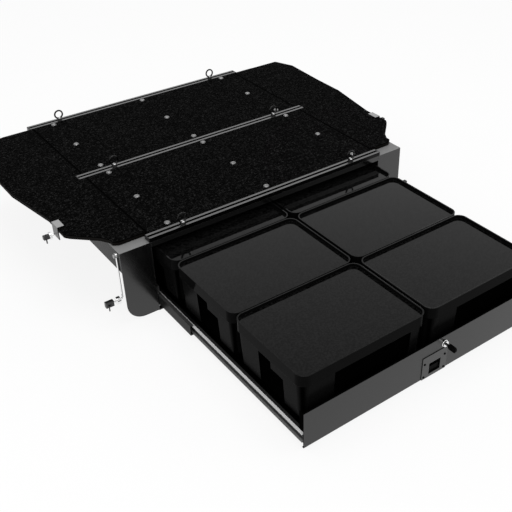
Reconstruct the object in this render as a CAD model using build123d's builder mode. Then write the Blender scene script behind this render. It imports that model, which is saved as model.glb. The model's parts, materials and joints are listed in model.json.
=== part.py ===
"""A vehicle drawer system: a steel carcass with one full-width drawer on telescopic slides, standing open,
a carpeted deck with three tie-down tracks, two carpeted side wings and six lidded boxes in the drawer.

Millimetres, +Z up, the drawer opens towards -Y. The origin is the centre of the carcass's underside.
"""

import os

from build123d import *

# Carcass and deck
deck_width = 900.0
track_pitch = 465.0
track_width = 28.0
track_height = 14.0
overall_height = 274.0
carpet = 3.0
sheet = 2.0
side_overhang = 8.0
seam = 1.0
top_lip = 26.0
bottom_lip = 12.0
rail_height = 18.0
rail_wide = 64.0
rail_narrow = 40.0
rail_middle = 96.0
floor_bolt_inset_x = 28.0
floor_bolt_inset_y = 39.0
floor_hole_r = 4.5

# Tie-down tracks
slot_width = 10.0
slot_cavity = 18.0
slot_roof = 3.0
slot_floor = 4.0
end_cap = 3.0
middle_track_overhang = 25.0
outer_track_overhang = 12.0

# Deck bolts
bolt_edge_gap = 18.5
bolt_side_gap = 76.5
bolt_play = 0.3
bolt_head_r = 10.0
bolt_head_rise = 4.0
bolt_head_round = 3.6
bolt_shank_r = 4.0
bolt_reach = 8.0

# Wings
wing_reach = 251.0
wing_front_gap = 42.0
wing_back_gap = 31.0
wing_corner_r = 8.0
notch_play = 0.5
support_width = 104.0
support_outer_drop = 70.0
support_inner_drop = 30.0
# The straight stretch of the wing's edge under the clip, as a share of the wing's reach
clip_edge_share = 0.815
# Shares of the wing's reach and of its depth, from the seam at the back round to the seam at the front
wing_outline_shares = [
    (0.865, 1.0),
    (1.0, 0.907),
    (0.966, 0.70),
    (0.960, 0.530),
    (clip_edge_share, 0.284),
    (clip_edge_share, 0.157),
    (0.769, 0.138),
    (0.498, 0.064),
    (0.426, 0.030),
    (0.426, 0.012),
    (0.359, 0.0),
]

# Facia plates
facia_corner_r = 60.0
facia_return = 30.0

# Wing clips and clamps
clip_length = 43.0
clip_sheet = 3.0
clip_cover = 20.0
clip_drop = 42.0
# The middle of the clip, as a share of the wing's depth from its front
clip_middle_share = 0.226
clamp_rod_r = 3.0
clamp_drop_rest = 12.0
clamp_washer_r = 12.5
clamp_washer = 7.0
clamp_stud = 16.0
knob_length = 18.0
knob_width = 14.0
knob_height = 13.0
knob_tail = 16.0
knob_tail_r = 2.0
stay_knob_length = 26.0
stay_knob_height = 20.0
stay_knob_hole_r = 5.0

# Stay rods at the front of the wing supports
pivot_inset_y = 19.0
pivot_drop = 14.0
pivot_r = 4.0
pivot_head_r = 7.0
pivot_head = 5.0
stay_eye_r = 8.0
stay_thickness = 6.0
stay_rod_r = 2.5
stay_length = 160.0
stay_bend_r = 8.0
stay_foot = 32.0
stay_washer_r = 12.5
stay_washer = 12.0

# Drawer slides
slide_space = 19.0
slide_centre_z = 38.0
slide_front_gap = 4.0
slide_rear_gap = 54.0
slide_closed_overlap = 160.0
outer_member_height = 46.0
outer_member_depth = 12.0
outer_member_sheet = 1.6
middle_member_short = 175.0
middle_member_height = 36.0
middle_member_sheet = 1.4
middle_member_set = 2.6
middle_member_depth = 11.9
inner_member_height = 28.0
inner_member_depth = 9.0
inner_member_sheet = 1.6
cage_sheet = 0.5
cage_arm = 0.8
cage_length = 300.0
ball_play = 0.1
balls_per_arm = 3
outer_cage_front = 96.0
inner_cage_front = 30.0

# Drawer
front_side_gap = 13.0
front_bottom = 4.0
front_height = 123.0
front_edge_return = 6.0
front_side_return = 18.0
front_side_return_base = 66.0
tray_floor = 12.0
tray_side_top = 68.0
tray_back_gap = 2.0

# Storage boxes and lids
lid_overhang = 1.75
box_gap_x = 9.5
box_gap_y = 3.0
box_front_gap = 14.0
box_back_gap = 4.0
rim_gap = 9.0
rim_wall = 4.0
lid_skirt = 36.0
lid_recess = 10.0
lid_panel = 3.0
lid_corner_r = 30.0
skirt_step = 4.0
lid_play = 0.5
box_wall = 3.0
box_draft = 3.0
pad_depth = 10.0
pad_foot = 78.0
recess_step_drop = 34.0
# Shares of the box's depth from its middle, for the stepped recess in each long side
side_recess_low_share = -0.213
side_recess_step_share = -0.039
side_recess_high_share = 0.139
# Shares of the box's width from its middle, for the recess in each end
end_recess_low_share = -0.24
end_recess_high_share = 0.37

# Latch
latch_x = 25.5
latch_plate_width = 97.0
latch_plate_height = 81.0
latch_plate_base = 3.0
pocket_x = 26.5
pocket_width = 45.0
pocket_height = 40.0
pocket_base = 14.0
pocket_depth = 12.0
pocket_wall = 1.5
latch_screw_pitch_x = 79.4
latch_screw_pitch_z = 48.6
latch_screw_z = 34.7
latch_screw_r = 2.0
latch_screw_head_r = 3.6
latch_screw_head = 1.6
latch_screw_length = 6.0
paddle_pin_r = 1.5
pin_play = 0.05
paddle_hub_r = 3.5
paddle_play = 2.0
paddle_height = 18.0
paddle_thickness = 3.0
paddle_hinge_rise = 5.0
paddle_hinge_depth = 7.0
paddle_arm_width = 7.0
paddle_arm_length = 10.0
paddle_arm_thickness = 3.0
latch_bolt_width = 15.0
latch_bolt_thickness = 6.0
latch_bolt_length = 41.0
latch_bolt_tip = 3.0
latch_bolt_travel = 5.0
latch_bolt_play = 0.5
latch_window_width = 9.0
latch_window_height = 6.0
latch_window_base = 15.0
guide_wall = 2.7
guide_play = 0.3
guide_height = 20.0
keeper_height = 5.0
keeper_thickness = 3.5
keeper_width = 30.0
keeper_foot = 12.0

# Lock
lock_x = 51.0
lock_z = 111.0
lock_collar_r = 11.0
lock_collar = 10.0
lock_ring_r = 9.5
lock_ring = 5.0
lock_body_r = 8.0
lock_body = 10.0
lock_plug_r = 6.0
lock_play = 0.05
lock_hole_play = 0.3
key_blade_length = 8.0
key_blade_width = 8.0
key_thickness = 2.5
key_bow_length = 30.0
key_bow_width = 18.0
# How far along the bow its hole sits, as a share of the bow's length
key_hole_share = 0.70
key_bow_thickness = 6.0
key_hole_r = 3.5
cam_length = 26.0
cam_width = 10.0
cam_thickness = 2.0

# Eye nuts in the tracks
eye_inset = 113.0
eye_ring_r = 15.0
eye_wire_r = 3.0
eye_hub_r = 10.0
eye_hub = 8.0
eye_hub_taper = 20.0
eye_sink = 2.5
eye_neck_r = 4.0
eye_foot = 16.0
eye_foot_height = 5.0
eye_play = 0.3

# Slide bumpers beside the drawer opening
bumper_width = 8.0
bumper_depth = 14.0
bumper_height = 28.0
bumper_gap = 2.0
bumper_screw_r = 4.0
bumper_screw_head = 2.0

# What follows from the sizes above
deck_underside = overall_height - track_height
board_top = overall_height - carpet
half_deck = deck_width / 2
half_outside = half_deck + side_overhang
half_inside = half_outside - sheet
front_y = -(track_pitch + track_width / 2)
back_y = track_pitch + track_width / 2
carcass_depth = back_y - front_y
back_inside = back_y - sheet
panel_depth = track_pitch - track_width
bolt_pitch_x = half_deck - bolt_side_gap
bolt_pitch_y = panel_depth / 2 - bolt_edge_gap
bolt_rows = [
    side * track_pitch / 2 + step * bolt_pitch_y
    for side in (-1, 1)
    for step in (-1, 0, 1)
]
bolt_columns = [-bolt_pitch_x, 0.0, bolt_pitch_x]
overrun = 2 * sheet
slide_length = carcass_depth - slide_front_gap - slide_rear_gap
middle_member_length = slide_length - middle_member_short
travel = slide_length - slide_closed_overlap
drawer_face_y = front_y - travel
face_inside_y = drawer_face_y + sheet
tray_back_y = back_inside - tray_back_gap - travel
tray_length = tray_back_y - face_inside_y
half_tray = half_inside - slide_space
front_half_width = half_inside - front_side_gap
box_names = ("front", "middle", "rear")
box_width = half_tray + lid_overhang - box_gap_x / 2
box_run = tray_back_y - box_back_gap - drawer_face_y - box_front_gap
box_depth = (box_run - (len(box_names) - 1) * box_gap_y) / len(box_names)
rim_top = deck_underside - rail_height - rim_gap
eye_x = half_deck - eye_inset
sides = {"left": -1, "right": 1}

os.makedirs("parts", exist_ok=True)


def write(node, label):
    """Label a finished piece and write it as its own file."""
    node.part.label = label
    export_step(node.part, f"parts/{label}.step")


def block(low, high, mode=Mode.ADD):
    """A rectangular block between two corners."""
    with Locations([tuple((a + b) / 2 for a, b in zip(low, high))]):
        Box(*(b - a for a, b in zip(low, high)), mode=mode)


def span(first, second):
    """Two numbers in rising order."""
    return min(first, second), max(first, second)


# Carcass sheets
with BuildPart() as base_pan:
    block((-half_outside, front_y, 0), (half_outside, back_y, sheet))
    with GridLocations(
        2 * (half_inside - floor_bolt_inset_x), carcass_depth - 2 * floor_bolt_inset_y, 2, 2
    ):
        Cylinder(floor_hole_r, overrun * 2, mode=Mode.SUBTRACT)
write(base_pan, "base_pan")

rail_places = [
    (front_y + rail_wide / 2, rail_wide),
    (-track_pitch / 2, rail_narrow),
    (0, rail_middle),
    (track_pitch / 2, rail_narrow),
    (back_inside - rail_wide / 2, rail_wide),
]
with BuildPart() as side_panels:
    for side in sides.values():
        with BuildSketch(Plane.XZ.offset(-back_y)):
            with BuildLine():
                Polyline(
                    (side * half_outside, sheet),
                    (side * half_outside, deck_underside),
                    (side * (half_inside - top_lip), deck_underside),
                    (side * (half_inside - top_lip), deck_underside - sheet),
                    (side * half_inside, deck_underside - sheet),
                    (side * half_inside, 2 * sheet),
                    (side * (half_inside - bottom_lip), 2 * sheet),
                    (side * (half_inside - bottom_lip), sheet),
                    close=True,
                )
            make_face()
        extrude(amount=carcass_depth)
        inner = span(side * (half_inside - top_lip - overrun), side * half_inside)
        for middle, width in rail_places:
            block(
                (inner[0], middle - width / 2, deck_underside - sheet),
                (inner[1], middle + width / 2, deck_underside),
                Mode.SUBTRACT,
            )
        block(
            (inner[0], back_inside, 0), (inner[1], back_y, overall_height), Mode.SUBTRACT
        )
write(side_panels, "side_panels")

with BuildPart() as back_panel:
    block((-half_inside, back_inside, sheet), (half_inside, back_y, deck_underside))
write(back_panel, "back_panel")

# Cross rails: folded channels, open below, that carry the deck
with BuildPart() as cross_rails:
    for middle, width in rail_places:
        block(
            (-half_inside, middle - width / 2, deck_underside - rail_height),
            (half_inside, middle + width / 2, deck_underside),
        )
        block(
            (-half_inside, middle - width / 2 + sheet, deck_underside - rail_height),
            (half_inside, middle + width / 2 - sheet, deck_underside - sheet),
            Mode.SUBTRACT,
        )
    with Locations([(x, y, deck_underside) for x in bolt_columns for y in bolt_rows]):
        Cylinder(bolt_shank_r + bolt_play, overrun * 2, mode=Mode.SUBTRACT)
write(cross_rails, "cross_rails")

# Deck boards and their carpets, between the tracks


def deck_layer(base, top):
    """One layer of the front and rear deck panels, with the bolt holes."""
    with BuildPart() as layer:
        for side in sides.values():
            near, far = span(side * track_width / 2, side * (track_pitch - track_width / 2))
            block((-half_deck + seam, near, base), (half_deck - seam, far, top))
        with Locations([(x, y, base) for x in bolt_columns for y in bolt_rows]):
            Cylinder(bolt_shank_r + bolt_play, 4 * track_height, mode=Mode.SUBTRACT)
    return layer


deck_boards = deck_layer(deck_underside, board_top)
write(deck_boards, "deck_boards")
deck_carpets = deck_layer(board_top, overall_height)
write(deck_carpets, "deck_carpets")

# Domed deck bolts
with BuildPart() as deck_bolts:
    with BuildSketch(Plane.XY.offset(deck_underside - bolt_reach)):
        with Locations([(x, y) for x in bolt_columns for y in bolt_rows]):
            Circle(bolt_shank_r)
    extrude(amount=bolt_reach + track_height)
    with BuildSketch(Plane.XY.offset(overall_height)):
        with Locations([(x, y) for x in bolt_columns for y in bolt_rows]):
            Circle(bolt_head_r)
    extrude(amount=bolt_head_rise)
    rims = deck_bolts.edges().filter_by(GeomType.CIRCLE).group_by(Axis.Z)[-1]
    fillet(rims, bolt_head_round)
write(deck_bolts, "deck_bolts")

# Tie-down tracks: extruded channels with an undercut slot, and the caps that close their ends
tracks = {
    "front": (-track_pitch, outer_track_overhang),
    "middle": (0, middle_track_overhang),
    "rear": (track_pitch, outer_track_overhang),
}
with BuildPart() as track_end_caps:
    for middle, overhang in tracks.values():
        for side in sides.values():
            ends = span(side * (half_deck + overhang), side * (half_deck + overhang - end_cap))
            block(
                (ends[0], middle - track_width / 2, deck_underside),
                (ends[1], middle + track_width / 2, overall_height),
            )
write(track_end_caps, "track_end_caps")

for track_name, (middle, overhang) in tracks.items():
    half_track = half_deck + overhang - end_cap
    with BuildPart() as track:
        with BuildSketch(Plane.YZ.offset(-half_track)):
            with Locations([(middle, deck_underside + track_height / 2)]):
                Rectangle(track_width, track_height)
            with Locations([(middle, overall_height)]):
                Rectangle(slot_width, 2 * (track_height - slot_floor), mode=Mode.SUBTRACT)
            with Locations([(middle, deck_underside + slot_floor)]):
                Rectangle(
                    slot_cavity,
                    track_height - slot_floor - slot_roof,
                    align=(Align.CENTER, Align.MIN),
                    mode=Mode.SUBTRACT,
                )
        extrude(amount=2 * half_track)
    write(track, f"track_{track_name}")


# Wings
wing_depth = carcass_depth - wing_front_gap - wing_back_gap
wing_front_y = front_y + wing_front_gap
wing_back_y = wing_front_y + wing_depth


def wing_place(side, shares):
    """A point of the wing's outline from its shares of reach and depth."""
    return side * (half_deck + wing_reach * shares[0]), wing_front_y + wing_depth * shares[1]


def wing_layer(base, thickness):
    """One layer of both wings, notched round the ends of the middle track."""
    with BuildPart() as layer:
        for side in sides.values():
            with BuildSketch(Plane.XY.offset(base)) as outline:
                corners = [wing_place(side, shares) for shares in wing_outline_shares]
                with BuildLine():
                    Polyline(
                        (side * (half_deck + seam), wing_front_y),
                        (side * (half_deck + seam), wing_back_y),
                        *corners,
                        close=True,
                    )
                make_face()
                outer = outline.vertices().sort_by(lambda v: abs(v.X))[2:]
                fillet(outer, wing_corner_r)
            extrude(amount=thickness)
        notch = half_deck + middle_track_overhang + notch_play
        block(
            (-notch, -track_width / 2 - notch_play, 0),
            (notch, track_width / 2 + notch_play, 2 * overall_height),
            Mode.SUBTRACT,
        )
    return layer


wing_boards = wing_layer(deck_underside, track_height - carpet)
write(wing_boards, "wing_boards")
wing_carpets = wing_layer(board_top, carpet)
write(wing_carpets, "wing_carpets")

# Wing supports: channels folded down along both edges, open at the front behind the facia
support_x = half_outside + support_width
pivot_y = front_y + pivot_inset_y
pivot_z = deck_underside - pivot_drop
with BuildPart() as wing_supports:
    for side in sides.values():
        with BuildSketch(Plane.XZ.offset(-back_y)):
            with BuildLine():
                Polyline(
                    (side * half_outside, deck_underside),
                    (side * support_x, deck_underside),
                    (side * support_x, deck_underside - support_outer_drop),
                    (side * (support_x - sheet), deck_underside - support_outer_drop),
                    (side * (support_x - sheet), deck_underside - sheet),
                    (side * (half_outside + sheet), deck_underside - sheet),
                    (side * (half_outside + sheet), deck_underside - support_inner_drop),
                    (side * half_outside, deck_underside - support_inner_drop),
                    close=True,
                )
            make_face()
        extrude(amount=carcass_depth - sheet)
        with Locations([Location((side * support_x, pivot_y, pivot_z), (0, 90, 0))]):
            Cylinder(pivot_r, overrun * 2, mode=Mode.SUBTRACT)
write(wing_supports, "wing_supports")

# Facia plates, with the large round corner below and a return along the carcass
with BuildPart() as facias:
    for side in sides.values():
        with BuildSketch(Plane.XZ.offset(-(front_y + sheet))) as plate:
            with BuildLine():
                Polyline(
                    (side * half_outside, sheet),
                    (side * half_outside, deck_underside),
                    (side * support_x, deck_underside),
                    (side * support_x, sheet),
                    close=True,
                )
            make_face()
            low_corners = plate.vertices().sort_by(Axis.Y)[:2]
            fillet(low_corners.sort_by(lambda v: abs(v.X))[-1], facia_corner_r)
        extrude(amount=sheet)
        flange = span(side * half_outside, side * (half_outside + sheet))
        block(
            (flange[0], front_y + sheet, sheet),
            (flange[1], front_y + facia_return, deck_underside - support_inner_drop),
        )
write(facias, "facias")

# Clips over the wings' outer edges, each with a screwed-on clamp stud
clip_edge = half_deck + wing_reach * clip_edge_share
clip_middle_y = wing_front_y + wing_depth * clip_middle_share
with BuildPart() as wing_clips:
    for side in sides.values():
        with BuildSketch(Plane.XZ.offset(-(clip_middle_y + clip_length / 2))):
            with BuildLine():
                Polyline(
                    (side * (clip_edge - clip_cover), overall_height),
                    (side * (clip_edge - clip_cover), overall_height + clip_sheet),
                    (side * (clip_edge + clip_sheet), overall_height + clip_sheet),
                    (side * (clip_edge + clip_sheet), overall_height - clip_drop),
                    (side * clip_edge, overall_height - clip_drop),
                    (side * clip_edge, deck_underside - clip_sheet),
                    (side * (clip_edge - clip_cover), deck_underside - clip_sheet),
                    (side * (clip_edge - clip_cover), deck_underside),
                    (side * clip_edge, deck_underside),
                    (side * clip_edge, overall_height),
                    close=True,
                )
            make_face()
        extrude(amount=clip_length)
write(wing_clips, "wing_clips")

# Telescopic slides: three nested channels a side, with ball cages between them
outer_back_y = front_y + slide_front_gap + slide_length
members = {
    "outer": (0.0, outer_member_depth, outer_member_height, outer_member_sheet),
    "middle": (middle_member_set, middle_member_depth, middle_member_height, middle_member_sheet),
    "inner": (slide_space, -inner_member_depth, inner_member_height, inner_member_sheet),
}
member_spans = {
    "outer": (outer_back_y - slide_length, outer_back_y),
    "middle": (outer_back_y - middle_member_length - travel / 2, outer_back_y - travel / 2),
    "inner": (outer_back_y - slide_length - travel, outer_back_y - travel),
}
for member, (web, depth, height, thickness) in members.items():
    begin, end = member_spans[member]
    turn = 1 if depth > 0 else -1
    with BuildPart() as slide_members:
        for side in sides.values():
            with BuildSketch(Plane.XZ.offset(-end)):
                with BuildLine():
                    Polyline(
                        (side * (half_inside - web - depth), slide_centre_z - height / 2),
                        (side * (half_inside - web), slide_centre_z - height / 2),
                        (side * (half_inside - web), slide_centre_z + height / 2),
                        (side * (half_inside - web - depth), slide_centre_z + height / 2),
                        (side * (half_inside - web - depth), slide_centre_z + height / 2 - thickness),
                        (
                            side * (half_inside - web - turn * thickness),
                            slide_centre_z + height / 2 - thickness,
                        ),
                        (
                            side * (half_inside - web - turn * thickness),
                            slide_centre_z - height / 2 + thickness,
                        ),
                        (side * (half_inside - web - depth), slide_centre_z - height / 2 + thickness),
                        close=True,
                    )
                make_face()
            extrude(amount=end - begin)
    write(slide_members, f"slide_{member}s")

# Each cage is a thin channel with balls that stand out of its arms on both faces
outer_gap = (outer_member_height - middle_member_height) / 2 - outer_member_sheet
inner_gap = (middle_member_height - inner_member_height) / 2 - middle_member_sheet
cages = {
    "outer": (
        (outer_member_sheet + middle_member_set - cage_sheet) / 2,
        outer_member_depth - outer_member_sheet,
        middle_member_height / 2 + outer_gap / 2,
        outer_gap / 2 - ball_play,
        member_spans["outer"][0] + outer_cage_front,
    ),
    "inner": (
        middle_member_set + middle_member_sheet + cage_sheet,
        middle_member_depth - outer_member_sheet,
        inner_member_height / 2 + inner_gap / 2,
        inner_gap / 2 - ball_play,
        member_spans["middle"][0] + inner_cage_front,
    ),
}
for cage_name, (web, depth, arm_z, ball_r, begin) in cages.items():
    with BuildPart() as slide_cage:
        for side in sides.values():
            with BuildSketch(Plane.XZ.offset(-(begin + cage_length))):
                with BuildLine():
                    Polyline(
                        (side * (half_inside - web - depth), slide_centre_z - arm_z - cage_arm / 2),
                        (side * (half_inside - web), slide_centre_z - arm_z - cage_arm / 2),
                        (side * (half_inside - web), slide_centre_z + arm_z + cage_arm / 2),
                        (side * (half_inside - web - depth), slide_centre_z + arm_z + cage_arm / 2),
                        (side * (half_inside - web - depth), slide_centre_z + arm_z - cage_arm / 2),
                        (
                            side * (half_inside - web - cage_sheet),
                            slide_centre_z + arm_z - cage_arm / 2,
                        ),
                        (
                            side * (half_inside - web - cage_sheet),
                            slide_centre_z - arm_z + cage_arm / 2,
                        ),
                        (side * (half_inside - web - depth), slide_centre_z - arm_z + cage_arm / 2),
                        close=True,
                    )
                make_face()
            extrude(amount=cage_length)
            ball_x = side * (half_inside - web - depth + 2 * ball_r)
            ball_pitch = cage_length / balls_per_arm
            with Locations(
                [
                    (ball_x, begin + ball_pitch * (2 * turn + 1) / 2, slide_centre_z + up * arm_z)
                    for turn in range(balls_per_arm)
                    for up in (-1, 1)
                ]
            ):
                Sphere(ball_r)
    write(slide_cage, f"slide_cage_{cage_name}")

# Rubber-faced guide blocks beside the opening, above the slides
bumper_base = slide_centre_z + outer_member_height / 2 + bumper_gap
bumper_y = front_y + bumper_gap + bumper_depth / 2
with BuildPart() as slide_bumpers:
    for side in sides.values():
        wall = span(side * half_inside, side * (half_inside - bumper_width))
        block(
            (wall[0], bumper_y - bumper_depth / 2, bumper_base),
            (wall[1], bumper_y + bumper_depth / 2, bumper_base + bumper_height),
        )
    fillet(slide_bumpers.edges().filter_by(Axis.X), bumper_gap)
    screw_height = bumper_base + bumper_height / 2
    with Locations(
        [
            Location((side * (half_inside - bumper_width), bumper_y, screw_height), (0, 90, 0))
            for side in sides.values()
        ]
    ):
        Cylinder(bumper_screw_r, 2 * bumper_screw_head)
write(slide_bumpers, "slide_bumpers")

# Drawer tray: floor and sides folded from one sheet, with a back
latch_plate_x = span(latch_x - latch_plate_width / 2, latch_x + latch_plate_width / 2)
pocket_outer = span(
    pocket_x - pocket_width / 2 - pocket_wall, pocket_x + pocket_width / 2 + pocket_wall
)
dish_back_y = drawer_face_y + pocket_depth
bolt_front_y = dish_back_y + latch_bolt_play
bolt_back_y = bolt_front_y + latch_bolt_thickness
with BuildPart() as drawer_tray:
    with BuildSketch(Plane.XZ.offset(-tray_back_y)):
        with BuildLine():
            Polyline(
                (-half_tray, tray_floor),
                (half_tray, tray_floor),
                (half_tray, tray_side_top),
                (half_tray - sheet, tray_side_top),
                (half_tray - sheet, tray_floor + sheet),
                (-half_tray + sheet, tray_floor + sheet),
                (-half_tray + sheet, tray_side_top),
                (-half_tray, tray_side_top),
                close=True,
            )
        make_face()
    extrude(amount=tray_length)
    block(
        (-half_tray + sheet, tray_back_y - sheet, tray_floor + sheet),
        (half_tray - sheet, tray_back_y, tray_side_top),
    )
    block(
        (latch_plate_x[0], face_inside_y, 0),
        (latch_plate_x[1], bolt_back_y + overrun, tray_floor + overrun),
        Mode.SUBTRACT,
    )
write(drawer_tray, "drawer_tray")

# Drawer front: a folded pan with short returns, cut out for the latch pocket and the lock
front_top = front_bottom + front_height
screw_points = [
    (latch_x + across * latch_screw_pitch_x / 2, latch_screw_z + up * latch_screw_pitch_z / 2)
    for across in (-1, 1)
    for up in (-1, 1)
]
screw_places = [Location((x, drawer_face_y, z), (90, 0, 0)) for x, z in screw_points]
with BuildPart() as drawer_front:
    with BuildSketch(Plane.YZ.offset(-front_half_width)):
        with BuildLine():
            Polyline(
                (drawer_face_y, front_bottom),
                (drawer_face_y, front_top),
                (drawer_face_y + front_edge_return, front_top),
                (drawer_face_y + front_edge_return, front_top - sheet),
                (face_inside_y, front_top - sheet),
                (face_inside_y, front_bottom + sheet),
                (drawer_face_y + front_edge_return, front_bottom + sheet),
                (drawer_face_y + front_edge_return, front_bottom),
                close=True,
            )
        make_face()
    extrude(amount=2 * front_half_width)
    for side in sides.values():
        wall = span(side * front_half_width, side * (front_half_width - sheet))
        block(
            (wall[0], face_inside_y, front_side_return_base),
            (wall[1], drawer_face_y + front_side_return, front_top),
        )
    block(
        (pocket_outer[0], drawer_face_y - overrun, pocket_base - pocket_wall),
        (pocket_outer[1], face_inside_y + overrun, pocket_base + pocket_height + pocket_wall),
        Mode.SUBTRACT,
    )
    with Locations([Location((lock_x, drawer_face_y, lock_z), (90, 0, 0))]):
        Cylinder(lock_body_r + lock_hole_play, 2 * overrun, mode=Mode.SUBTRACT)
    with Locations(screw_places):
        Cylinder(latch_screw_r + pin_play, 4 * overrun, mode=Mode.SUBTRACT)
write(drawer_front, "drawer_front")

# Storage boxes: a drafted thin-walled core, a band under the lid and pads that hang from it
box_base = tray_floor + sheet
skirt_base = rim_top - lid_skirt
core_top = rim_top - lid_recess - lid_panel
body_width = box_width - 2 * skirt_step
body_depth = box_depth - 2 * skirt_step
body_corner_r = lid_corner_r - skirt_step
box_pitch_y = box_depth + box_gap_y
box_columns = {
    column: side * (box_width + box_gap_x) / 2 for column, side in sides.items()
}
box_places = {
    row: drawer_face_y + box_front_gap + box_depth / 2 + number * box_pitch_y
    for number, row in enumerate(box_names)
}


def drafted(middle, width, depth, corner_r, top, bottom, mode=Mode.ADD):
    """A rounded rectangle that narrows downwards with the box's draft."""
    with BuildSketch(Plane.XY.offset(top)) as outline:
        with Locations([middle]):
            RectangleRounded(width, depth, corner_r)
    extrude(outline.sketch, amount=bottom - top, taper=box_draft, mode=mode)


def recess(low, high, base, top):
    """A straight-sided pocket cut between two plan corners."""
    block((low[0], low[1], base), (high[0], high[1], top), Mode.SUBTRACT)


for row, middle_y in box_places.items():
    for column, middle_x in box_columns.items():
        middle = (middle_x, middle_y)
        with BuildPart() as storage_box:
            drafted(middle, body_width, body_depth, body_corner_r, core_top, pad_foot)
            half_width = body_width / 2
            half_depth = body_depth / 2
            for side in sides.values():
                wall = span(side * half_width, side * (half_width - pad_depth))
                for low, high, top in (
                    (side_recess_low_share, side_recess_step_share, skirt_base - recess_step_drop),
                    (side_recess_step_share, side_recess_high_share, skirt_base),
                ):
                    recess(
                        (middle_x + wall[0], middle_y + low * box_depth),
                        (middle_x + wall[1], middle_y + high * box_depth),
                        pad_foot,
                        top,
                    )
                wall = span(side * half_depth, side * (half_depth - pad_depth))
                recess(
                    (middle_x + end_recess_low_share * box_width, middle_y + wall[0]),
                    (middle_x + end_recess_high_share * box_width, middle_y + wall[1]),
                    pad_foot,
                    skirt_base,
                )
            core = [size - 2 * pad_depth for size in (body_width, body_depth)]
            core_r = body_corner_r - pad_depth
            drafted(middle, *core, core_r, core_top, box_base)
            drafted(
                middle,
                *(size - 2 * box_wall for size in core),
                core_r - box_wall,
                core_top,
                box_base + box_wall,
                Mode.SUBTRACT,
            )
        write(storage_box, f"box_{row}_{column}")

        with BuildPart() as lid:
            with BuildSketch(Plane.XY.offset(skirt_base)):
                with Locations([middle]):
                    RectangleRounded(box_width, box_depth, lid_corner_r)
            extrude(amount=lid_skirt)
            with BuildSketch(Plane.XY.offset(rim_top)):
                with Locations([middle]):
                    RectangleRounded(
                        box_width - 2 * rim_wall,
                        box_depth - 2 * rim_wall,
                        lid_corner_r - rim_wall,
                    )
            extrude(amount=-lid_recess, mode=Mode.SUBTRACT)
            with BuildSketch(Plane.XY.offset(skirt_base)):
                with Locations([middle]):
                    RectangleRounded(
                        body_width + 2 * lid_play,
                        body_depth + 2 * lid_play,
                        body_corner_r + lid_play,
                    )
            extrude(amount=core_top - skirt_base, mode=Mode.SUBTRACT)
        write(lid, f"lid_{row}_{column}")

# Latch plate with its pocket dish, pivot holes and bolt guides
pocket_top = pocket_base + pocket_height
hinge_y = drawer_face_y + paddle_hinge_depth
hinge_z = pocket_base + paddle_hinge_rise
window_half = latch_window_width / 2
bolt_half = latch_bolt_width / 2
with BuildPart() as latch_plate:
    with BuildSketch(Plane.XZ.offset(-drawer_face_y)) as plate:
        with Locations([(latch_x, latch_plate_base + latch_plate_height / 2)]):
            Rectangle(latch_plate_width, latch_plate_height)
        fillet(plate.vertices(), sheet)
    extrude(amount=sheet)
    block(
        (pocket_outer[0] + guide_play, drawer_face_y, pocket_base - pocket_wall + guide_play),
        (
            pocket_outer[1] - guide_play,
            dish_back_y,
            pocket_top + pocket_wall - guide_play,
        ),
    )
    block(
        (pocket_outer[0] + pocket_wall, drawer_face_y - sheet, pocket_base),
        (pocket_outer[1] - pocket_wall, dish_back_y - pocket_wall, pocket_top),
        Mode.SUBTRACT,
    )
    block(
        (pocket_x - window_half, dish_back_y - pocket_wall, pocket_base),
        (pocket_x + window_half, dish_back_y, pocket_base + 2 * window_half + latch_bolt_travel),
        Mode.SUBTRACT,
    )
    with Locations([Location((pocket_x, hinge_y, hinge_z), (0, 90, 0))]):
        Cylinder(paddle_pin_r + pin_play, 2 * pocket_width, mode=Mode.SUBTRACT)
    for side in sides.values():
        lug = span(
            pocket_x + side * (bolt_half + guide_play),
            pocket_x + side * (bolt_half + guide_play + guide_wall),
        )
        block(
            (lug[0], dish_back_y, pocket_base + guide_wall),
            (lug[1], bolt_back_y, pocket_base + guide_wall + guide_height),
        )
    with Locations(screw_places):
        Cylinder(latch_screw_r + pin_play, 4 * overrun, mode=Mode.SUBTRACT)
write(latch_plate, "latch_plate")

with BuildPart() as latch_screws:
    with BuildSketch(Plane.XZ.offset(-(drawer_face_y + latch_screw_length))):
        with Locations(screw_points):
            Circle(latch_screw_r)
    extrude(amount=latch_screw_length + sheet)
    with BuildSketch(Plane.XZ.offset(-(drawer_face_y - sheet))):
        with Locations(screw_points):
            Circle(latch_screw_head_r)
    extrude(amount=latch_screw_head)
    rims = latch_screws.edges().filter_by(GeomType.CIRCLE).group_by(Axis.Y)[0]
    fillet(rims, latch_screw_head / 2)
write(latch_screws, "latch_screws")

with BuildPart() as paddle_pin:
    with Locations([Location((pocket_x, hinge_y, hinge_z), (0, 90, 0))]):
        Cylinder(paddle_pin_r, pocket_width + 2 * pocket_wall)
write(paddle_pin, "paddle_pin")

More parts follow.
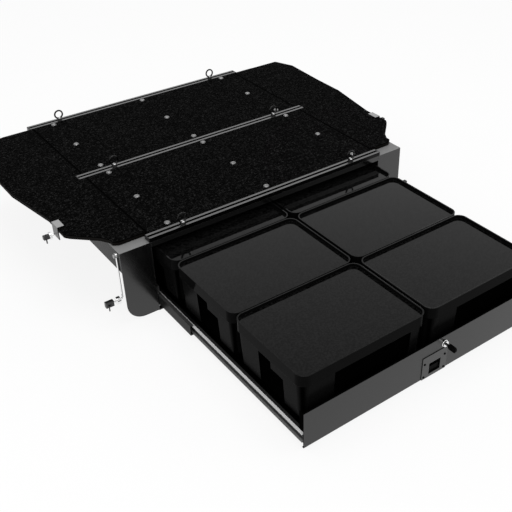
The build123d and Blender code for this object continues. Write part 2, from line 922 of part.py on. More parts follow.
paddle_half = pocket_width / 2 - paddle_play
paddle_face_y = hinge_y - paddle_hub_r - paddle_thickness / 2
with BuildPart() as latch_paddle:
    with BuildSketch(Plane.YZ.offset(pocket_x - paddle_half)):
        with Locations([(hinge_y, hinge_z)]):
            Circle(paddle_hub_r)
        with BuildLine():
            Polyline(
                (paddle_face_y, hinge_z),
                (paddle_face_y, hinge_z + paddle_height),
                (paddle_face_y + paddle_thickness, hinge_z + paddle_height),
                (paddle_face_y + paddle_thickness, hinge_z + paddle_hub_r),
                (hinge_y, hinge_z + paddle_hub_r),
                (hinge_y, hinge_z),
                close=True,
            )
        make_face()
    extrude(amount=2 * paddle_half)
    block(
        (
            pocket_x - paddle_arm_width / 2,
            hinge_y,
            hinge_z - paddle_arm_thickness / 2,
        ),
        (
            pocket_x + paddle_arm_width / 2,
            hinge_y + paddle_arm_length,
            hinge_z + paddle_arm_thickness / 2,
        ),
    )
    with Locations([Location((pocket_x, hinge_y, hinge_z), (0, 90, 0))]):
        Cylinder(paddle_pin_r + pin_play, 2 * pocket_width, mode=Mode.SUBTRACT)
write(latch_paddle, "latch_paddle")

with BuildPart() as latch_bolt:
    block(
        (pocket_x - bolt_half, bolt_front_y, latch_bolt_tip),
        (pocket_x + bolt_half, bolt_back_y, latch_bolt_tip + latch_bolt_length),
    )
    chamfer(
        latch_bolt.faces().sort_by(Axis.Z)[0].edges().sort_by(Axis.Y)[-1],
        latch_bolt_thickness / 2,
    )
    block(
        (pocket_x - window_half, bolt_front_y, latch_window_base),
        (pocket_x + window_half, bolt_back_y, latch_window_base + latch_window_height),
        Mode.SUBTRACT,
    )
write(latch_bolt, "latch_bolt")

# Keeper on the base pan that the bolt drops behind when the drawer is shut
keeper_back_y = bolt_front_y + travel - latch_bolt_play
with BuildPart() as latch_keeper:
    with BuildSketch(Plane.YZ.offset(pocket_x - keeper_width / 2)):
        with BuildLine():
            Polyline(
                (keeper_back_y - keeper_thickness, sheet),
                (keeper_back_y - keeper_thickness, sheet + keeper_height / 2),
                (keeper_back_y - keeper_thickness / 2, sheet + keeper_height),
                (keeper_back_y, sheet + keeper_height),
                (keeper_back_y, sheet),
                close=True,
            )
        make_face()
    extrude(amount=keeper_width)
write(latch_keeper, "latch_keeper")

# Lock: a fixed collar and body, and the plug with its key and cam that turn together
lock_plane = Plane.XZ.offset(-drawer_face_y)
with BuildPart() as lock_barrel:
    with BuildSketch(lock_plane):
        with Locations([(lock_x, lock_z)]):
            Circle(lock_collar_r)
    extrude(amount=lock_collar)
    with BuildSketch(lock_plane):
        with Locations([(lock_x, lock_z)]):
            Circle(lock_ring_r)
    extrude(amount=lock_collar + lock_ring)
    with BuildSketch(lock_plane):
        with Locations([(lock_x, lock_z)]):
            Circle(lock_body_r)
    extrude(amount=-lock_body)
    with Locations([Location((lock_x, drawer_face_y, lock_z), (90, 0, 0))]):
        Cylinder(lock_plug_r + lock_play, 4 * (lock_collar + lock_ring), mode=Mode.SUBTRACT)
write(lock_barrel, "lock_barrel")

plug_front_y = drawer_face_y - lock_collar - lock_ring
plug_back_y = drawer_face_y + lock_body + lock_play
with BuildPart() as lock_cylinder:
    with BuildSketch(Plane.XZ.offset(-plug_back_y)):
        with Locations([(lock_x, lock_z)]):
            Circle(lock_plug_r)
    extrude(amount=plug_back_y - plug_front_y)
    block(
        (lock_x - cam_length, plug_back_y, lock_z - cam_width / 2),
        (lock_x + cam_width / 2, plug_back_y + cam_thickness, lock_z + cam_width / 2),
    )
write(lock_cylinder, "lock_cylinder")

with BuildPart() as lock_key:
    block(
        (lock_x - key_thickness / 2, plug_front_y - key_blade_length, lock_z - key_blade_width / 2),
        (lock_x + key_thickness / 2, plug_front_y, lock_z + key_blade_width / 2),
    )
    with BuildSketch(Plane.YZ.offset(lock_x - key_bow_thickness / 2)):
        bow_y = plug_front_y - key_blade_length
        with Locations([(bow_y - key_bow_length / 2, lock_z)]):
            RectangleRounded(key_bow_length, key_bow_width, 2 * key_bow_width / 5)
        with Locations([(bow_y - key_bow_length * key_hole_share, lock_z)]):
            Circle(key_hole_r, mode=Mode.SUBTRACT)
    extrude(amount=key_bow_thickness)
write(lock_key, "lock_key")

# Eye nuts: a ring on a hub, with a foot that runs in the track's undercut
eye_seat = overall_height
ring_z = eye_seat + eye_hub - eye_sink + eye_ring_r + eye_wire_r / 2
foot_base = deck_underside + slot_floor + eye_play
foot_top = min(foot_base + eye_foot_height, overall_height - slot_roof - eye_play)
for track_name, (middle, _) in tracks.items():
    for side_name, side in sides.items():
        with BuildPart() as eye_nut:
            with BuildSketch(Plane.XY.offset(foot_base)):
                with Locations([(side * eye_x, middle)]):
                    Rectangle(eye_foot, eye_foot)
            extrude(amount=foot_top - foot_base)
            with BuildSketch(Plane.XY.offset(foot_base)):
                with Locations([(side * eye_x, middle)]):
                    Circle(eye_neck_r)
            extrude(amount=eye_seat + eye_hub - foot_base)
            with BuildSketch(Plane.XY.offset(eye_seat)):
                with Locations([(side * eye_x, middle)]):
                    Circle(eye_hub_r)
            extrude(amount=eye_hub, taper=eye_hub_taper)
            with Locations([Location((side * eye_x, middle, ring_z), (90, 0, 0))]):
                Torus(eye_ring_r, eye_wire_r)
        write(eye_nut, f"eye_nut_{track_name}_{side_name}")

# Stay rods at the front: pivot bolts through the supports, flat-eyed rods and knobs on their feet
stay_face_x = support_x + pin_play
stay_rod_x = stay_face_x + stay_thickness / 2
foot_z = pivot_z - stay_length
with BuildPart() as stay_bolts:
    for side in sides.values():
        shank = stay_face_x + stay_thickness + pin_play
        for near, far, radius in (
            (support_x - sheet, shank, pivot_r - pin_play),
            (shank, shank + pivot_head, pivot_head_r),
            (support_x - sheet - pivot_head, support_x - sheet, pivot_head_r),
        ):
            middle = side * (near + far) / 2
            with Locations([Location((middle, pivot_y, pivot_z), (0, 90, 0))]):
                Cylinder(radius, far - near)
write(stay_bolts, "stay_bolts")

for side_name, side in sides.items():
    with BuildPart() as stay_rod:
        with BuildSketch(Plane.YZ.offset(side * stay_rod_x - stay_thickness / 2)):
            with Locations([(pivot_y, pivot_z)]):
                Circle(stay_eye_r)
                Circle(pivot_r, mode=Mode.SUBTRACT)
        extrude(amount=stay_thickness)
        with BuildLine() as route:
            FilletPolyline(
                (side * stay_rod_x, pivot_y, pivot_z - stay_eye_r + sheet),
                (side * stay_rod_x, pivot_y, foot_z),
                (side * (stay_rod_x + stay_foot), pivot_y, foot_z),
                radius=stay_bend_r,
            )
        with BuildSketch(Plane(route.line @ 0, z_dir=route.line % 0)):
            Circle(stay_rod_r)
        sweep()
        washer_x = stay_rod_x + stay_foot / 2
        with Locations([Location((side * washer_x, pivot_y, foot_z), (0, 90, 0))]):
            Cylinder(stay_washer_r, stay_washer)
    write(stay_rod, f"stay_rod_{side_name}")

    knob_x = stay_rod_x + stay_foot
    with BuildPart() as stay_knob:
        ends = span(side * knob_x, side * (knob_x + stay_knob_length))
        block(
            (ends[0], pivot_y - knob_width / 2, foot_z - stay_knob_height / 2),
            (ends[1], pivot_y + knob_width / 2, foot_z + stay_knob_height / 2),
        )
        fillet(stay_knob.edges().filter_by(Axis.X), knob_tail_r)
        loop_x = knob_x + stay_knob_length / 2 + knob_tail_r
        with Locations([Location((side * loop_x, pivot_y, foot_z), (90, 0, 0))]):
            Cylinder(stay_knob_hole_r, 2 * knob_width, mode=Mode.SUBTRACT)
        with Locations([(side * loop_x, pivot_y, foot_z - stay_knob_height / 2 - knob_tail / 2)]):
            Cylinder(knob_tail_r, knob_tail + knob_tail_r)
    write(stay_knob, f"stay_knob_{side_name}")

# Clamp studs on the clips, each with a washer and a winged knob that turns on it
clamp_z = overall_height - clip_drop + clamp_drop_rest
clip_face = clip_edge + clip_sheet
with BuildPart() as clamp_studs:
    for side in sides.values():
        with BuildSketch(Plane.YZ.offset(side * clip_face)):
            with Locations([(clip_middle_y, clamp_z)]):
                Circle(clamp_rod_r)
        extrude(amount=side * (clamp_stud + clamp_washer + knob_length / 2))
        with BuildSketch(Plane.YZ.offset(side * (clip_face + clamp_stud))):
            with Locations([(clip_middle_y, clamp_z)]):
                Circle(clamp_washer_r)
        extrude(amount=side * clamp_washer)
write(clamp_studs, "clamp_studs")

for side_name, side in sides.items():
    knob_x = clip_face + clamp_stud + clamp_washer
    ends = span(side * knob_x, side * (knob_x + knob_length))
    with BuildPart() as clamp_knob:
        block(
            (ends[0], clip_middle_y - knob_width / 2, clamp_z - knob_height / 2),
            (ends[1], clip_middle_y + knob_width / 2, clamp_z + knob_height / 2),
        )
        fillet(clamp_knob.edges().filter_by(Axis.X), knob_tail_r)
        with Locations(
            [(side * (knob_x + knob_length / 2), clip_middle_y, clamp_z - knob_height / 2)]
        ):
            Cylinder(knob_tail_r, 2 * knob_tail)
        with BuildSketch(Plane.YZ.offset(side * knob_x)):
            with Locations([(clip_middle_y, clamp_z)]):
                Circle(clamp_rod_r + pin_play)
        extrude(amount=side * (knob_length / 2 + pin_play), mode=Mode.SUBTRACT)
    write(clamp_knob, f"clamp_knob_{side_name}")
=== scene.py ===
"""Looks for the vehicle drawer system: camera, floor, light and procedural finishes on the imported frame."""

import json
import math

import bmesh
import bpy
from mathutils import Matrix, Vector

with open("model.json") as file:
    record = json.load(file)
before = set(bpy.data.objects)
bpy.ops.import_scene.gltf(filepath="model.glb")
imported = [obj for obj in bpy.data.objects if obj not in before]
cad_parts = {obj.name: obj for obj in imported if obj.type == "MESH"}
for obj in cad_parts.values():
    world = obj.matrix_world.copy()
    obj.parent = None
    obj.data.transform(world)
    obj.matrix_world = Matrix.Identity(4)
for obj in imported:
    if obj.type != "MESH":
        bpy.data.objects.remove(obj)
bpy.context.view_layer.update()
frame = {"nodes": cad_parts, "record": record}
scene = bpy.context.scene
scene.view_settings.view_transform = "Standard"
nodes = frame["nodes"]
record = frame["record"]

# ---------------------------------------------------------------- places on the part, in metres
board_joint_x = 0.4505  # where the wing boards meet the deck boards, on each side
seam_shade_fade = (0.0030, 0.0060)  # how far from the joint the painted shade of the seam stays full, and from where the pile has its own colour
slide_middle_z = 0.038  # half-way up the slides, above which the flanges get the brighter painted light
eye_hub_top = 0.2825  # the upper face of an eye nut's hub, which carries a painted highlight

# How far from its middle a box's core, painted in shade, ends and its pads begin, as shares of its length and
# its depth
pad_edge_x = (0.4778, 0.4798)
pad_edge_y = (0.4692, 0.4712)

# ---------------------------------------------------------------- camera, in degrees, mm and metres
camera_azimuth = -37.30
camera_elevation = 34.81
camera_place = (-1.3165, -2.3673, 1.6165)
camera_lens = 56.93
camera_sensor = 36.0
camera_shift_x = -0.09375
camera_clip = (0.05, 60.0)

# ---------------------------------------------------------------- grain, in features per metre
cloud_scale = 5.0
peel_scale = 620.0
wear_scale = 90.0
brush_scale = 260.0
mottle_scale = 14.0
flow_scale = 7.0
knob_grain_scale = 700.0
box_grain_scale = 520.0

# ---------------------------------------------------------------- surroundings
floor_half_size = 14.0
floor_drop = 0.0005  # keeps the floor off the part's underside
floor_shades = (0.90, 0.93)
floor_glow_to_camera = 0.86
floor_glow_to_mirrors = 0.9

# The sky dims between these heights of its direction, so that the lids mirror less where seen more steeply
sky_heights = (0.46, 0.70)
sky_strengths = (0.96, 0.50)

# Each softbox: its name, place, aim, side and power in watts
softboxes = (
    ("top_softbox", (0.0, -0.4, 4.4), (0.0, -0.35, 0.1), 3.0, 70.0),
    ("key_softbox", (-2.6, -2.6, 2.6), (0.0, -0.4, 0.1), 1.8, 26.0),
    ("fill_softbox", (2.8, -2.8, 2.0), (0.1, -0.5, 0.1), 1.6, 10.0),
)


def make_camera():
    azimuth = math.radians(camera_azimuth)
    elevation = math.radians(camera_elevation)
    looking = Vector((
        -math.sin(azimuth) * math.cos(elevation),
        math.cos(azimuth) * math.cos(elevation),
        -math.sin(elevation),
    ))
    data = bpy.data.cameras.new("camera")
    data.sensor_width = camera_sensor
    data.lens = camera_lens
    data.shift_x = camera_shift_x
    data.clip_start, data.clip_end = camera_clip
    camera = bpy.data.objects.new("camera", data)
    scene.collection.objects.link(camera)
    camera.rotation_mode = "QUATERNION"
    camera.location = camera_place
    camera.rotation_quaternion = looking.to_track_quat("-Z", "Y")
    scene.camera = camera


# ---------------------------------------------------------------- node helpers
def grey(shade):
    """A colour from one shade or three, both linear."""
    if isinstance(shade, tuple):
        return (*shade, 1.0)
    return (shade, shade, shade, 1.0)


class Nodes:
    """A node tree, emptied, with short calls for the nodes used here."""

    def __init__(self, owner):
        owner.use_nodes = True
        self.tree = owner.node_tree
        self.tree.nodes.clear()

    def add(self, kind, **settings):
        node = self.tree.nodes.new(kind)
        for key, value in settings.items():
            setattr(node, key, value)
        return node

    def feed(self, socket, value):
        """Sets a number or a colour on a socket, and links anything else to it."""
        if isinstance(value, (int, float, tuple)):
            socket.default_value = value
        else:
            self.tree.links.new(value, socket)

    def axis_of(self, vector, axis):
        split = self.add("ShaderNodeSeparateXYZ")
        self.feed(split.inputs["Vector"], vector)
        return split.outputs[axis]

    def step(self, value, low, high, before=0.0, after=1.0):
        """The value before, up to low, and the value after, from high on, and straight between."""
        node = self.add("ShaderNodeMapRange")
        for key, number in (("From Min", low), ("From Max", high), ("To Min", before), ("To Max", after)):
            node.inputs[key].default_value = number
        self.feed(node.inputs["Value"], value)
        return node.outputs["Result"]

    def math(self, operation, *values):
        node = self.add("ShaderNodeMath", operation=operation)
        for socket, value in zip(node.inputs, values):
            self.feed(socket, value)
        return node.outputs["Value"]

    def absolute(self, value):
        return self.math("ABSOLUTE", value)

    def product(self, first, *others):
        for other in others:
            first = self.math("MULTIPLY", first, other)
        return first

    def weighted(self, *terms):
        """The sum of each value times its weight."""
        total = None
        for value, weight in terms:
            share = self.product(value, weight)
            total = share if total is None else self.math("ADD", total, share)
        return total

    def shader_mix(self, factor, a, b):
        """Shader a where the factor is 0 and b where it is 1."""
        node = self.add("ShaderNodeMixShader")
        for socket, value in zip(node.inputs, (factor, a, b)):
            self.feed(socket, value)
        return node.outputs[0]


class Finish(Nodes):
    """A material whose coordinates are metres in the part's frame."""

    def __init__(self, name):
        self.material = bpy.data.materials.new(name)
        super().__init__(self.material)
        self.surface = self.add("ShaderNodeOutputMaterial").inputs["Surface"]
        self.shader = self.add("ShaderNodeBsdfPrincipled")
        self.feed(self.surface, self.shader.outputs["BSDF"])
        self.coords = self.add("ShaderNodeTexCoord")
        self.points = self.coords.outputs["Object"]

    def stretch(self, x, y, z):
        mapping = self.add("ShaderNodeMapping")
        mapping.inputs["Scale"].default_value = (x, y, z)
        self.feed(mapping.inputs["Vector"], self.points)
        return mapping.outputs["Vector"]

    def noise(self, scale, detail, rough, vector=None):
        node = self.add("ShaderNodeTexNoise")
        for key, value in (("Scale", scale), ("Detail", detail), ("Roughness", rough)):
            node.inputs[key].default_value = value
        self.feed(node.inputs["Vector"], vector or self.points)
        return node.outputs["Fac"]

    def cells(self, scale, feature, vector=None, randomness=1.0):
        node = self.add("ShaderNodeTexVoronoi", feature=feature)
        for key, value in (("Scale", scale), ("Randomness", randomness)):
            node.inputs[key].default_value = value
        self.feed(node.inputs["Vector"], vector or self.points)
        return node.outputs["Distance"]

    def ramp(self, factor, *stops):
        """Greys by place from 0 to 1, in order, straight between."""
        node = self.add("ShaderNodeValToRGB")
        elements = node.color_ramp.elements
        for element, (place, shade) in zip(elements, (stops[0], stops[-1])):
            element.position, element.color = place, grey(shade)
        for place, shade in stops[1:-1]:
            elements.new(place).color = grey(shade)
        self.feed(node.inputs["Fac"], factor)
        return node.outputs["Color"]

    def clouded(self, clouds, shade, darker=0.85, lighter=1.15):
        """One shade with faint clouds in it."""
        return self.ramp(clouds, (0.25, shade * darker), (0.75, shade * lighter))

    def place(self, axis):
        """Where a point lies in the part's frame, in metres."""
        return self.axis_of(self.points, axis)

    def off_middle(self, axis):
        """How far a point lies from the middle of its own piece's box, as a share of the box, up to 0.5."""
        share = self.axis_of(self.coords.outputs["Generated"], axis)
        return self.absolute(self.math("SUBTRACT", share, 0.5))

    def facing(self, axis):
        """How squarely a face looks along one axis, from -1 to 1."""
        return self.axis_of(self.coords.outputs["Normal"], axis)

    def mix(self, factor, a, b):
        """Colour a where the factor is 0 and b where it is 1. A number is a grey."""
        node = self.add("ShaderNodeMix", data_type="RGBA")
        self.feed(node.inputs["Factor"], factor)
        for key, value in (("A", a), ("B", b)):
            self.feed(node.inputs[key], grey(value) if isinstance(value, float) else value)
        return node.outputs["Result"]

    def rough_about(self, middle, *swings):
        """A roughness that swings about its middle, by each noise times its range."""
        half = sum(reach for noise, reach in swings) / 2
        return self.math("ADD", self.weighted(*swings), middle - half)

    def bump(self, height, distance, strength, rounding=None):
        """The normal of a relief, with edges that look rounded where a radius is given."""
        node = self.add("ShaderNodeBump")
        for key, value in (("Strength", strength), ("Distance", distance)):
            node.inputs[key].default_value = value
        self.feed(node.inputs["Height"], height)
        if rounding is not None:
            edge = self.add("ShaderNodeBevel", samples=4)
            edge.inputs["Radius"].default_value = rounding
            self.feed(node.inputs["Normal"], edge.outputs["Normal"])
        return node.outputs["Normal"]

    def done(self, colour, roughness, normal, metallic=0.0, shine=0.5):
        for key, value in (
            ("Base Color", colour),
            ("Roughness", roughness),
            ("Normal", normal),
            ("Metallic", metallic),
            ("Specular IOR Level", shine),
            ("IOR", 1.5),
        ):
            self.feed(self.shader.inputs[key], value)
        return self.material


# ---------------------------------------------------------------- powder coats
def coat_surface(t):
    """A powder coat's broad clouds, and the normal of its fine orange peel."""
    clouds = t.noise(cloud_scale, 4.0, 0.6)
    peel = t.noise(peel_scale, 2.0, 0.5)
    return clouds, t.bump(peel, 0.00012, 0.5, rounding=0.0008)


def powder_coat(name, shade, rough, shine):
    """Satin powder coat, a little rubbed."""
    t = Finish(name)
    clouds, normal = coat_surface(t)
    rubbed = t.noise(wear_scale, 3.0, 0.6)
    roughness = t.rough_about(rough, (clouds, 0.10), (rubbed, 0.06))
    return t.done(t.clouded(clouds, shade), roughness, normal, shine=shine)


def flanged_coat(name, lit, shaded, rough, shine):
    """Powder coat on a bent bracket, with painted light on the faces that look up, over dark faces that
    mirror.
    """
    t = Finish(name)
    clouds, normal = coat_surface(t)
    level = t.step(t.facing("Z"), 0.5, 0.8)
    flange = t.clouded(clouds, lit, 0.9, 1.1)
    # Painted light: the faces that look up get the lit shade, all others the shaded one
    colour = t.mix(level, t.clouded(clouds, shaded), flange)
    return t.done(colour, t.rough_about(rough, (clouds, 0.08)), normal, shine=shine)


def front_coat(name):
    """The drawer front: a satin skin in grey-black, and painted shade in matt black on the folded returns and
    every other face that does not look forward.
    """
    t = Finish(name)
    clouds, normal = coat_surface(t)
    behind = t.step(t.facing("Y"), -0.9, -0.6)
    skin = t.ramp(clouds, (0.25, 0.0022), (0.75, 0.0036))
    # Painted shade: every face but the forward skin near-black and without shine
    colour = t.mix(behind, skin, 0.0012)
    shine = t.product(t.math("SUBTRACT", 1.0, behind), 0.42)
    return t.done(colour, t.rough_about(0.30, (clouds, 0.12)), normal, shine=shine)


# ---------------------------------------------------------------- deck
def carpet(name):
    """Near-black looped pile: loops of a few millimetres, with painted shade along the boards' joints and on
    the carpet's side faces.
    """
    t = Finish(name)
    loops = t.cells(190.0, "F1", vector=t.stretch(1.0, 1.2, 1.0), randomness=0.8)
    clumps = t.noise(130.0, 2.0, 0.6)
    fibres = t.noise(800.0, 3.0, 0.7)
    patches = t.noise(8.0, 4.0, 0.6)
    tuft = t.math("SUBTRACT", 0.85, t.product(loops, 0.9))
    height = t.weighted((tuft, 0.45), (clumps, 0.75), (fibres, 0.12), (patches, 0.06))
    pile = t.ramp(height, (0.54, 0.0002), (0.67, 0.0018), (0.78, 0.0090), (0.90, 0.0260))
    from_joint = t.absolute(t.math("SUBTRACT", t.absolute(t.place("X")), board_joint_x))
    off_joint = t.step(from_joint, *seam_shade_fade)
    on_top = t.step(t.facing("Z"), 0.2, 0.7)
    # Painted shade: near-black on the seams between the boards and on every face of the carpet that does not
    # look up
    colour = t.mix(t.product(off_joint, on_top), 0.0002, pile)
    return t.done(colour, 0.95, t.bump(height, 0.0030, 1.0), shine=0.02)


def board(name):
    """Plywood under the carpet: dark sealed plies, seen only at the edges and from below."""
    t = Finish(name)
    plies = t.noise(430.0, 1.0, 0.3, vector=t.stretch(0.02, 0.02, 1.0))
    grain = t.noise(60.0, 5.0, 0.65, vector=t.stretch(6.0, 0.6, 6.0))
    tint = t.weighted((plies, 0.6), (grain, 0.5))
    colour = t.ramp(tint, (0.30, (0.0016, 0.0014, 0.0012)), (0.80, (0.0060, 0.0054, 0.0048)))
    return t.done(colour, 0.7, t.bump(grain, 0.0003, 0.5), shine=0.05)


# ---------------------------------------------------------------- metals
def metal_surface(t, along):
    """A metal's fine lines, its tint of lines and broad mottle, and the lines' normal."""
    vector = t.stretch(*along) if along else None
    lines = t.noise(brush_scale, 4.0, 0.65, vector=vector)
    tint = t.weighted((lines, 0.5), (t.noise(mottle_scale, 4.0, 0.6), 0.5))
    return lines, tint, t.bump(lines, 0.00004, 0.4, rounding=0.0005)


def metal(name, shade, rough, along=None, spread=0.12):
    """Plated metal, brushed where a direction is given, else with a faint crystal mottle."""
    t = Finish(name)
    lines, tint, normal = metal_surface(t, along)
    darkest, lightest = shade * (1 - spread), shade * (1 + spread)
    colour = t.ramp(tint, (0.30, darkest), (0.70, lightest))
    return t.done(colour, t.rough_about(rough, (lines, 0.14)), normal, metallic=1.0)


def track_metal(name):
    """Anodised track: lips brushed along its length, and painted shade on its front and back faces."""
    t = Finish(name)
    lines, tint, normal = metal_surface(t, (0.02, 1.0, 1.0))
    lips = t.ramp(tint, (0.30, 0.15), (0.70, 0.20))
    upright = t.step(t.absolute(t.facing("Y")), 0.5, 0.8)
    # Painted shade: the faces that look forward or back near-black
    colour = t.mix(upright, lips, 0.010)
    return t.done(colour, t.rough_about(0.32, (lines, 0.14)), normal, metallic=1.0)


def bolt_metal(name):
    """Worn dark bolts, whose low domes mirror the light from behind."""
    t = Finish(name)
    worn = t.noise(wear_scale, 4.0, 0.6)
    colour = t.ramp(worn, (0.30, 0.20), (0.75, 0.30))
    normal = t.bump(worn, 0.00005, 0.4, rounding=0.0060)
    return t.done(colour, t.rough_about(0.13, (worn, 0.10)), normal, metallic=1.0)


def eye_nut_metal(name):
    """Blackened eye nuts, with a painted highlight in white on the hub's upper face."""
    t = Finish(name)
    up = t.step(t.facing("Z"), 0.30, 0.55)
    height = t.place("Z")
    below_top = t.step(height, eye_hub_top, eye_hub_top + 0.0015, before=1.0, after=0.0)
    above_side = t.step(height, eye_hub_top - 0.0015, eye_hub_top - 0.0010)
    worn = t.noise(wear_scale, 4.0, 0.6)
    black = t.ramp(worn, (0.30, 0.010), (0.75, 0.030))
    # Painted highlight: pure white where the hub's upper face looks up
    colour = t.mix(t.product(up, below_top, above_side), black, 1.0)
    normal = t.bump(worn, 0.00005, 0.4)
    return t.done(colour, t.rough_about(0.16, (worn, 0.12)), normal, metallic=1.0)


def slide_member(name, lit, shaded, metal_share):
    """A slide member's plated steel, with painted light on the flanges' flat faces, brighter on the upper
    flange, and painted shade on the web.
    """
    t = Finish(name)
    level = t.step(t.absolute(t.facing("Z")), 0.5, 0.8)
    upper = t.step(t.place("Z"), slide_middle_z - 0.002, slide_middle_z + 0.002)
    streaks = t.noise(240.0, 4.0, 0.65, vector=t.stretch(1.0, 0.04, 1.0))
    tint = t.weighted((streaks, 0.5), (t.noise(60.0, 4.0, 0.7), 0.5))
    # Painted light and shade: the upper flange lit, the lower flange in the upper one's shade, and the web in
    # shade
    shaded_lower_flange = t.ramp(tint, (0.30, lit * 0.18), (0.70, lit * 0.28))
    lit_upper_flange = t.ramp(tint, (0.30, lit * 0.9), (0.70, lit))
    web = t.ramp(tint, (0.30, shaded * 0.6), (0.70, shaded * 1.4))
    colour = t.mix(level, web, t.mix(upper, shaded_lower_flange, lit_upper_flange))
    normal = t.bump(streaks, 0.00004, 0.4)
    metallic = t.product(level, metal_share)
    roughness = t.rough_about(0.44, (streaks, 0.16))
    return t.done(colour, roughness, normal, metallic=metallic, shine=0.1)


# ---------------------------------------------------------------- plastics and rubber
def moulded(name, shade, rough, shine, grain_depth=0.00006, rounding=0.0006):
    """Moulded plastic: a fine pebble grain, a faint flow cloud, and rubbed corners."""
    t = Finish(name)
    pebble = t.cells(knob_grain_scale, "SMOOTH_F1")
    fine = t.noise(knob_grain_scale * 2.2, 2.0, 0.5)
    clouds = t.noise(flow_scale, 4.0, 0.6)
    normal = t.bump(t.weighted((pebble, 1.0), (fine, 0.4)), grain_depth, 0.5, rounding=rounding)
    colour = t.clouded(clouds, shade, 0.85, 1.2)
    return t.done(colour, t.rough_about(rough, (clouds, 0.12)), normal, shine=shine)


def box_moulding(name):
    """The boxes' plastic: satin pads on the outer faces, and painted shade in near-black everywhere else, in
    the hollows between and below the pads and round the corners.
    """
    t = Finish(name)
    across = t.step(t.absolute(t.facing("X")), 0.80, 0.97)
    along = t.step(t.absolute(t.facing("Y")), 0.80, 0.97)
    on_side = t.product(t.step(t.off_middle("X"), *pad_edge_x), across)
    on_front = t.product(t.step(t.off_middle("Y"), *pad_edge_y), along)
    pad = t.math("MAXIMUM", on_side, on_front)
    pad_shade = t.ramp(t.noise(flow_scale, 4.0, 0.6), (0.25, 0.0024), (0.75, 0.0036))
    # Painted shade: the core and the corners near-black, the pads in their own colour
    colour = t.mix(pad, 0.0004, pad_shade)
    normal = t.bump(t.cells(box_grain_scale, "SMOOTH_F1"), 0.00006, 0.5, rounding=0.0012)
    return t.done(colour, 0.26, normal, shine=t.product(pad, 0.008))


def lid_moulding(name):
    """The lids' plastic: a glossy top with a fine dusty grain, and duller sides."""
    t = Finish(name)
    top = t.step(t.facing("Z"), 0.55, 0.85)
    clouds = t.noise(6.0, 4.0, 0.6)
    dusty = t.ramp(t.noise(190.0, 3.0, 0.7), (0.42, 0.0001), (0.60, 0.0060))
    sides = t.ramp(clouds, (0.25, 0.0022), (0.75, 0.0034))
    colour = t.mix(top, sides, dusty)
    shine = t.math("ADD", t.product(top, 0.19), 0.01)
    normal = t.bump(t.cells(box_grain_scale, "SMOOTH_F1"), 0.00003, 0.4, rounding=0.0010)
    return t.done(colour, t.rough_about(0.035, (clouds, 0.03)), normal, shine=shine)


def rubber(name):
    """Matt black rubber with fine specks."""
    t = Finish(name)
    specks = t.noise(420.0, 3.0, 0.6)
    colour = t.ramp(t.noise(30.0, 3.0, 0.6), (0.25, 0.006), (0.75, 0.014))
    return t.done(colour, 0.75, t.bump(specks, 0.0001, 0.5, rounding=0.0008))


# ---------------------------------------------------------------- which finish goes where
slot_finishes = {
    "black_steel": powder_coat("black_steel_coat", shade=0.003, rough=0.18, shine=0.6),
    "board": board("sealed_board"),
    "carpet": carpet("looped_carpet"),
    "black_bolts": bolt_metal("worn_black_bolts"),
    "steel": metal("zinc_steel", shade=0.55, rough=0.30),
    "aluminium": track_metal("anodised_track"),
    "slide_steel": metal("bright_zinc_slide", shade=0.74, rough=0.24, along=(1.0, 0.02, 1.0)),
    "black_rubber": rubber("matt_rubber"),
    "chrome": metal("polished_chrome", shade=0.86, rough=0.12, spread=0.03),
    "black_plastic": moulded("knob_plastic", shade=0.010, rough=0.40, shine=0.5, grain_depth=0.00008),
    "box_plastic": box_moulding("box_moulded"),
    "lid_plastic": lid_moulding("lid_moulded"),
}
# Nodes that need more than their slot's finish
node_finishes = {
    "facias": flanged_coat("facia_coat", lit=0.19, shaded=0.003, rough=0.18, shine=0.65),
    "wing_supports": flanged_coat("support_coat", lit=0.19, shaded=0.002, rough=0.24, shine=0.06),
    "wing_clips": flanged_coat("clip_coat", lit=0.30, shaded=0.006, rough=0.24, shine=0.35),
    "track_end_caps": moulded("end_cap_plastic", shade=0.004, rough=0.30, shine=0.25),
    "drawer_tray": powder_coat("tray_coat", shade=0.002, rough=0.45, shine=0.02),
    "drawer_front": front_coat("drawer_front_coat"),
    "lock_key": moulded("key_grip_plastic", shade=0.001, rough=0.35, shine=0.04),
    "latch_screws": moulded("screw_black", shade=0.001, rough=0.50, shine=0.03, rounding=0.0004),
    "latch_paddle": moulded("paddle_plastic", shade=0.0008, rough=0.40, shine=0.02),
    "slide_inners": slide_member("zinc_drawer_member", lit=1.0, shaded=0.020, metal_share=0.25),
    "slide_middles": slide_member("dark_middle_member", lit=0.050, shaded=0.004, metal_share=0.0),
}
eye_nut_finish = eye_nut_metal("blackened_eye_nut")


def finish_for(entry):
    name = entry["node"]
    if name.startswith("eye_nut"):
        return eye_nut_finish
    if name in node_finishes:
        return node_finishes[name]
    return slot_finishes[entry["material_slot"]]


def dress_all():
    """Puts one finish on each node of the frame, in each of its slots."""
    for entry in record["subparts"]:
        material = finish_for(entry)
        mesh = nodes[entry["node"]].data
        if not mesh.materials:
            mesh.materials.append(material)
        for index in range(len(mesh.materials)):
            mesh.materials[index] = material


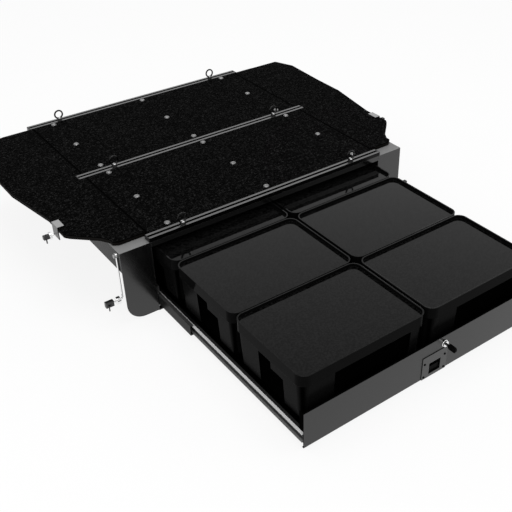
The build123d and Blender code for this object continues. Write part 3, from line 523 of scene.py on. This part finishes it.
# ---------------------------------------------------------------- floor, background and light
def pale_floor():
    """A near-white floor that shows as its own glow to the camera and to mirrors, over its soft shadows."""
    t = Finish("pale_floor")
    clouds = t.noise(3.0, 2.0, 0.5)
    shade = t.ramp(clouds, (0.0, floor_shades[0]), (1.0, floor_shades[1]))
    t.feed(t.shader.inputs["Base Color"], shade)
    t.feed(t.shader.inputs["Roughness"], 0.9)
    t.feed(t.shader.inputs["Specular IOR Level"], 0.0)
    glow = t.add("ShaderNodeEmission")
    glow.inputs["Strength"].default_value = 1.0
    rays = t.add("ShaderNodeLightPath").outputs
    share = t.weighted(
        (rays["Is Camera Ray"], floor_glow_to_camera),
        (rays["Is Glossy Ray"], floor_glow_to_mirrors),
    )
    t.feed(t.surface, t.shader_mix(share, t.shader.outputs["BSDF"], glow.outputs["Emission"]))
    return t.material


def make_floor():
    mesh = bpy.data.meshes.new("floor")
    bm = bmesh.new()
    bmesh.ops.create_grid(bm, x_segments=8, y_segments=8, size=floor_half_size)
    bm.to_mesh(mesh)
    bm.free()
    floor = bpy.data.objects.new("floor", mesh)
    scene.collection.objects.link(floor)
    floor.location = (0.0, 0.0, -floor_drop)
    mesh.materials.append(pale_floor())


def make_world():
    """Plain white to the camera, and a soft sky to all that is lit."""
    world = bpy.data.worlds.new("studio")
    scene.world = world
    t = Nodes(world)
    surface = t.add("ShaderNodeOutputWorld").inputs["Surface"]
    height = t.axis_of(t.add("ShaderNodeTexCoord").outputs["Generated"], "Z")
    sky, white = t.add("ShaderNodeBackground"), t.add("ShaderNodeBackground")
    for background, strength in ((sky, t.step(height, *sky_heights, *sky_strengths)), (white, 1.0)):
        t.feed(background.inputs["Color"], grey(1.0))
        t.feed(background.inputs["Strength"], strength)
    to_camera = t.add("ShaderNodeLightPath").outputs["Is Camera Ray"]
    t.feed(surface, t.shader_mix(to_camera, sky.outputs["Background"], white.outputs["Background"]))


def make_lights():
    for name, place, aim, side, power in softboxes:
        data = bpy.data.lights.new(name, "AREA")
        data.shape = "SQUARE"
        data.size = side
        data.energy = power
        light = bpy.data.objects.new(name, data)
        scene.collection.objects.link(light)
        light.location = place
        light.rotation_mode = "QUATERNION"
        light.rotation_quaternion = (Vector(aim) - Vector(place)).to_track_quat("-Z", "Y")


make_camera()
dress_all()
make_floor()
make_world()
make_lights()
